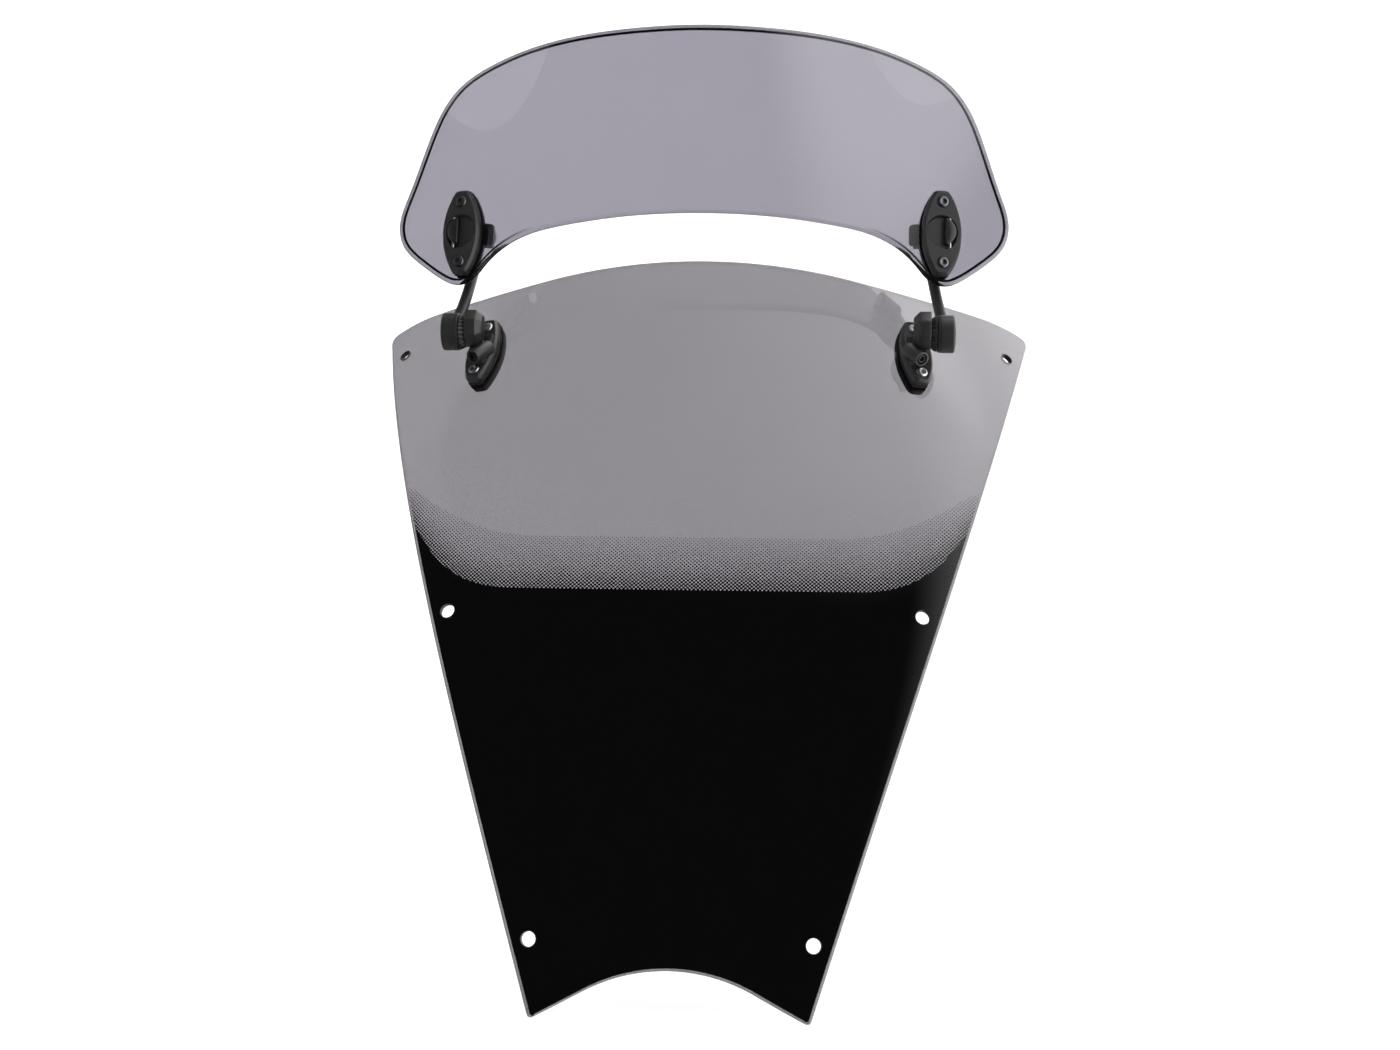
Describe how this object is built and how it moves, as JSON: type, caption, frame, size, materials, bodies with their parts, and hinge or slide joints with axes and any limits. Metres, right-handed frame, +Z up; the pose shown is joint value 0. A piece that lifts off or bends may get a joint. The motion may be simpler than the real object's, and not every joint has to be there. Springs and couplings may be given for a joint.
{
  "type": "motorcycle windshield screen",
  "caption": "Tall smoke-tinted touring windscreen, black below, with an adjustable spoiler blade on two articulated arms above its top edge.",
  "frame": {"origin": "midway between the two lower fixing holes, on the line through their centres at the front face", "axes": "+X to the right as seen from the front, +Y from the front face towards the rider, +Z up; the part is its own mirror image in X"},
  "size_m": [0.3968, 0.2412, 0.5438],
  "materials": {
    "smoke_acrylic": "thermoformed smoke-tinted acrylic, polished, with the lower half back-printed black",
    "black_nylon": "glass-filled nylon, fine moulded texture",
    "button_nylon": "smooth moulded nylon",
    "epdm_rubber": "matt",
    "stainless_steel": "cold-formed stainless",
    "black_steel": "black oxide"
  },
  "bodies": {
    "screen": {"main_screen": "smoke_acrylic", "foot_pad_left": "epdm_rubber", "foot_plate_left": "black_nylon", "counter_pad_left": "epdm_rubber", "counter_plate_left": "black_nylon", "foot_screw_upper_left": "stainless_steel", "foot_screw_lower_left": "stainless_steel", "foot_nut_upper_left": "stainless_steel", "foot_nut_lower_left": "stainless_steel", "knuckle_left": "black_nylon", "clamp_screw_left": "black_steel", "lock_ring_left": "black_nylon", "pivot_bolt_left": "black_steel", "pivot_nut_left": "black_steel", "foot_pad_right": "epdm_rubber", "foot_plate_right": "black_nylon", "counter_pad_right": "epdm_rubber", "counter_plate_right": "black_nylon", "foot_screw_upper_right": "stainless_steel", "foot_screw_lower_right": "stainless_steel", "foot_nut_upper_right": "stainless_steel", "foot_nut_lower_right": "stainless_steel", "knuckle_right": "black_nylon", "clamp_screw_right": "black_steel", "lock_ring_right": "black_nylon", "pivot_bolt_right": "black_steel", "pivot_nut_right": "black_steel"},
    "arm_left": {"arm_left": "black_nylon"},
    "arm_right": {"arm_right": "black_nylon"},
    "spoiler": {"spoiler_blade": "smoke_acrylic", "front_gasket_left": "epdm_rubber", "front_plate_left": "black_nylon", "lever_axle_left": "stainless_steel", "rear_pad_left": "epdm_rubber", "rear_bracket_left": "black_nylon", "hinge_pin_left": "stainless_steel", "pin_clip_left": "stainless_steel", "blade_screw_upper_left": "stainless_steel", "blade_screw_lower_left": "stainless_steel", "front_gasket_right": "epdm_rubber", "front_plate_right": "black_nylon", "lever_axle_right": "stainless_steel", "rear_pad_right": "epdm_rubber", "rear_bracket_right": "black_nylon", "hinge_pin_right": "stainless_steel", "pin_clip_right": "stainless_steel", "blade_screw_upper_right": "stainless_steel", "blade_screw_lower_right": "stainless_steel"},
    "button_left": {"release_button_left": "button_nylon", "button_spring_left": "stainless_steel"},
    "lever_left": {"latch_lever_left": "button_nylon"},
    "button_right": {"release_button_right": "button_nylon", "button_spring_right": "stainless_steel"},
    "lever_right": {"latch_lever_right": "button_nylon"}
  },
  "joints": [
    {"name": "arm_swing", "type": "hinge", "parent": "screen", "child": "arm_left", "pos_m": [-0.145, 0.144, 0.3275], "axis": [1, 0, 0], "range_deg": [-15, 60]},
    {"name": "arm_swing_right", "type": "hinge", "parent": "screen", "child": "arm_right", "pos_m": [0.145, 0.144, 0.3275], "axis": [1, 0, 0], "range_deg": [-15, 60]},
    {"name": "spoiler_tilt", "type": "hinge", "parent": "arm_left", "child": "spoiler", "pos_m": [-0.134, 0.1765, 0.3878], "axis": [1, 0, 0], "range_deg": [-35, 0]},
    {"name": "release_left", "type": "slide", "parent": "arm_left", "child": "button_left", "axis": [1, 0, 0], "range_m": [0, 0.0015], "stiffness_N_per_m": 600, "springref_m": -0.0005},
    {"name": "latch_left", "type": "hinge", "parent": "spoiler", "child": "lever_left", "pos_m": [-0.14723, 0.15755, 0.3882], "axis": [0, -0.1678, -0.9858], "range_deg": [0, 8], "stiffness_Nm_per_rad": 0.02, "springref_deg": -5.73},
    {"name": "release_right", "type": "slide", "parent": "arm_right", "child": "button_right", "axis": [-1, 0, 0], "range_m": [0, 0.0015], "stiffness_N_per_m": 600, "springref_m": -0.0005},
    {"name": "latch_right", "type": "hinge", "parent": "spoiler", "child": "lever_right", "pos_m": [0.14723, 0.15755, 0.3882], "axis": [0, 0.1678, 0.9858], "range_deg": [0, 8], "stiffness_Nm_per_rad": 0.02, "springref_deg": -5.73}
  ],
  "couplings": [
    {"joint": "arm_swing_right", "follows": "arm_swing", "ratio": 1}
  ]
}
